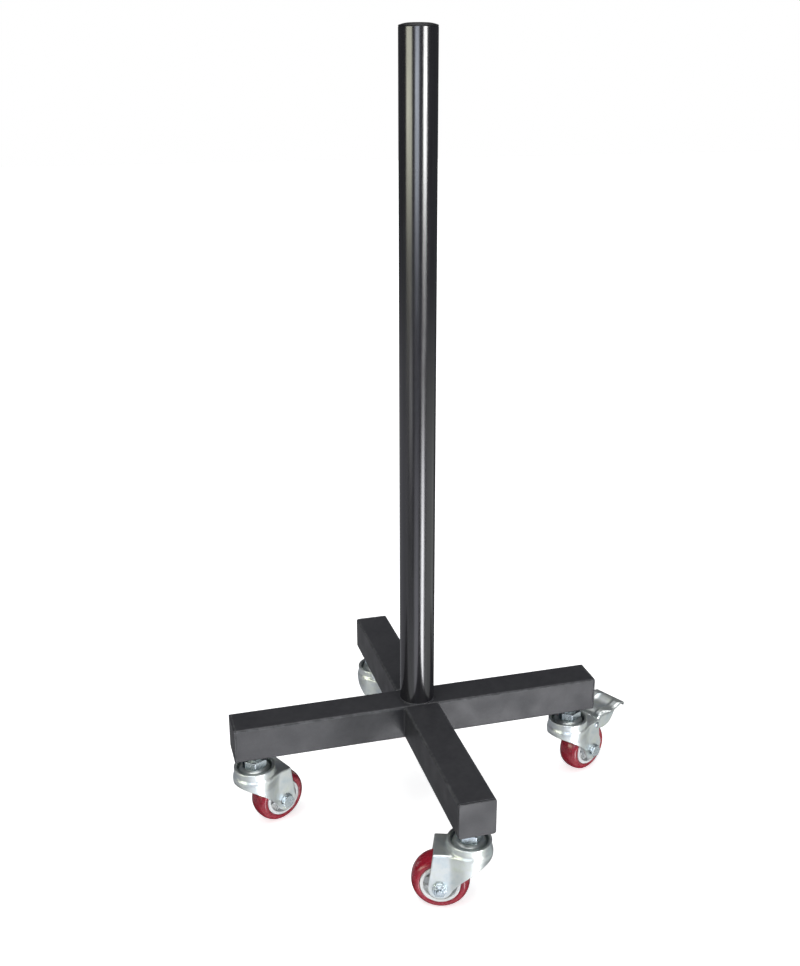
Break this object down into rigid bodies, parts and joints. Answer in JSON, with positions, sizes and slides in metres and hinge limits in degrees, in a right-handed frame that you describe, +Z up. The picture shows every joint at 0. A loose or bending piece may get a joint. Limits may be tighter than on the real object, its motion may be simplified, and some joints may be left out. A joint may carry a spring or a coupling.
{
  "type": "mobile column stand",
  "caption": "Round steel column standing on a cross of square tube, carried by swivel casters, one of them with a foot brake.",
  "frame": {"origin": "on the floor, under the column's axis", "axes": "+Z up along the column, -Y along the front arm, +X along the arm with the braked caster"},
  "size_m": [0.6104, 0.5369, 1.07],
  "materials": {
    "arm_paint": "satin grey-black paint",
    "column_paint": "gloss black paint",
    "cap_plastic": "black moulded plastic",
    "zinc_plate": "bright zinc plate with a faint blue tint",
    "plated_steel": "zinc-plated steel",
    "spring_steel": "dark spring steel",
    "wheel_plastic": "light grey moulded plastic",
    "tread_red": "glossy dark red polyurethane"
  },
  "bodies": {
    "base": {"cross_beam": "arm_paint", "front_arm": "arm_paint", "rear_arm": "arm_paint", "end_plate_left": "arm_paint", "end_plate_right": "arm_paint", "end_plate_front": "arm_paint", "end_plate_rear": "arm_paint", "column_tube": "column_paint", "column_cap": "cap_plastic", "stem_front": "plated_steel", "jam_nut_front": "zinc_plate", "weld_nut_front": "plated_steel", "upper_race_front": "zinc_plate", "stem_rear": "plated_steel", "jam_nut_rear": "zinc_plate", "weld_nut_rear": "plated_steel", "upper_race_rear": "zinc_plate", "stem_left": "plated_steel", "jam_nut_left": "zinc_plate", "weld_nut_left": "plated_steel", "upper_race_left": "zinc_plate", "stem_right": "plated_steel", "jam_nut_right": "zinc_plate", "weld_nut_right": "plated_steel", "upper_race_right": "zinc_plate"},
    "swivel_front": {"fork_front": "zinc_plate", "ball_ring_front": "plated_steel", "axle_bolt_front": "plated_steel", "axle_nut_front": "plated_steel", "axle_sleeve_front": "plated_steel"},
    "wheel_front": {"wheel_hub_front": "wheel_plastic", "tread_front": "tread_red", "wheel_bearing_front": "plated_steel"},
    "swivel_rear": {"fork_rear": "zinc_plate", "ball_ring_rear": "plated_steel", "axle_bolt_rear": "plated_steel", "axle_nut_rear": "plated_steel", "axle_sleeve_rear": "plated_steel"},
    "wheel_rear": {"wheel_hub_rear": "wheel_plastic", "tread_rear": "tread_red", "wheel_bearing_rear": "plated_steel"},
    "swivel_left": {"fork_left": "zinc_plate", "ball_ring_left": "plated_steel", "axle_bolt_left": "plated_steel", "axle_nut_left": "plated_steel", "axle_sleeve_left": "plated_steel"},
    "wheel_left": {"wheel_hub_left": "wheel_plastic", "tread_left": "tread_red", "wheel_bearing_left": "plated_steel"},
    "swivel_right": {"fork_right": "zinc_plate", "ball_ring_right": "plated_steel", "axle_bolt_right": "plated_steel", "axle_nut_right": "plated_steel", "axle_sleeve_right": "plated_steel", "brake_pin": "plated_steel"},
    "wheel_right": {"wheel_hub_right": "wheel_plastic", "tread_right": "tread_red", "wheel_bearing_right": "plated_steel"},
    "brake_lever": {"brake_pedal": "zinc_plate", "brake_leaf": "spring_steel"}
  },
  "joints": [
    {"name": "swivel_turn_front", "type": "hinge", "parent": "base", "child": "swivel_front", "pos_m": [0, -0.2375, 0.1], "axis": [0, 0, 1], "continuous": true},
    {"name": "wheel_roll_front", "type": "hinge", "parent": "swivel_front", "child": "wheel_front", "pos_m": [-0.03383, -0.22519, 0.038], "axis": [-0.342, -0.9397, 0], "continuous": true},
    {"name": "swivel_turn_rear", "type": "hinge", "parent": "base", "child": "swivel_rear", "pos_m": [0, 0.2375, 0.1], "axis": [0, 0, 1], "continuous": true},
    {"name": "wheel_roll_rear", "type": "hinge", "parent": "swivel_rear", "child": "wheel_rear", "pos_m": [0.0169, 0.20571, 0.038], "axis": [0.8829, 0.4695, 0], "continuous": true},
    {"name": "swivel_turn_left", "type": "hinge", "parent": "base", "child": "swivel_left", "pos_m": [-0.2375, 0, 0.1], "axis": [0, 0, 1], "continuous": true},
    {"name": "wheel_roll_left", "type": "hinge", "parent": "swivel_left", "child": "wheel_left", "pos_m": [-0.20501, 0.0155, 0.038], "axis": [-0.4305, 0.9026, 0], "continuous": true},
    {"name": "swivel_turn_right", "type": "hinge", "parent": "base", "child": "swivel_right", "pos_m": [0.2375, 0, 0.1], "axis": [0, 0, 1], "continuous": true},
    {"name": "wheel_roll_right", "type": "hinge", "parent": "swivel_right", "child": "wheel_right", "pos_m": [0.26986, 0.01578, 0.038], "axis": [-0.4384, 0.8988, 0], "continuous": true},
    {"name": "brake_press", "type": "hinge", "parent": "swivel_right", "child": "brake_lever", "pos_m": [0.27345, 0.01753, 0.0803], "axis": [-0.4384, 0.8988, 0], "range_deg": [0, 11]}
  ]
}
